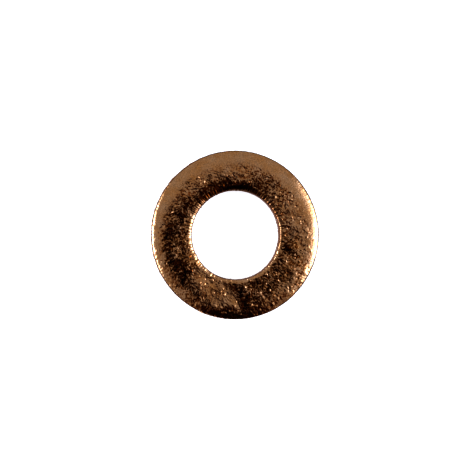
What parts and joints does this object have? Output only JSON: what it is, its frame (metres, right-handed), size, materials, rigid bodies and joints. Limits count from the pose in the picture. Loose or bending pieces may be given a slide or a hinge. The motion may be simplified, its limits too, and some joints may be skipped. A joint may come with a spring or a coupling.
{
  "type": "flat washer",
  "caption": "Plain stamped flat washer in tumbled bronze, with rolled upper edges, burnished walls and a clearance hole for an M8 bolt.",
  "frame": {"origin": "on the hole's axis, in the plane of the lower face", "axes": "+Z along the hole's axis, out of the face with the rolled edges, where the bolt's head goes; the ring is the same all round, so X and Y are free"},
  "size_m": [0.016, 0.016, 0.0016],
  "materials": {
    "bronze": "tumbled bronze, worn smooth, with fine dents"
  },
  "bodies": {
    "root": {"washer": "bronze"}
  },
  "joints": []
}
